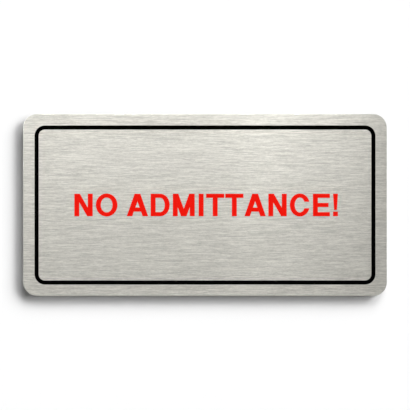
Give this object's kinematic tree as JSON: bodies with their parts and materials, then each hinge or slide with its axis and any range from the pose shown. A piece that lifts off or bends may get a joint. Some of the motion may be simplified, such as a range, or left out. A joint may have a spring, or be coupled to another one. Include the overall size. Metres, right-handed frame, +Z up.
{
  "type": "no entry sign",
  "caption": "Rectangular brushed metal door sign with rounded corners, a printed black border line and a line of red capitals, stuck on by foam tape.",
  "frame": {"origin": "centre of the tape's sticky outer face, in the plane of the wall that the sign is stuck to", "axes": "+X to the reader's right, along the plate's length; +Z up; +Y into the wall, so the printed face looks along -Y"},
  "size_m": [0.16, 0.0026, 0.08],
  "materials": {
    "brushed_metal": "brushed along the plate's length",
    "foam_tape": "closed-cell foam with a sticky face",
    "black_ink": "cured ink, satin",
    "red_ink": "cured ink, satin"
  },
  "bodies": {
    "root": {"plate": "brushed_metal", "mounting_tape": "foam_tape", "border_print": "black_ink", "lettering_print": "red_ink"}
  },
  "joints": []
}
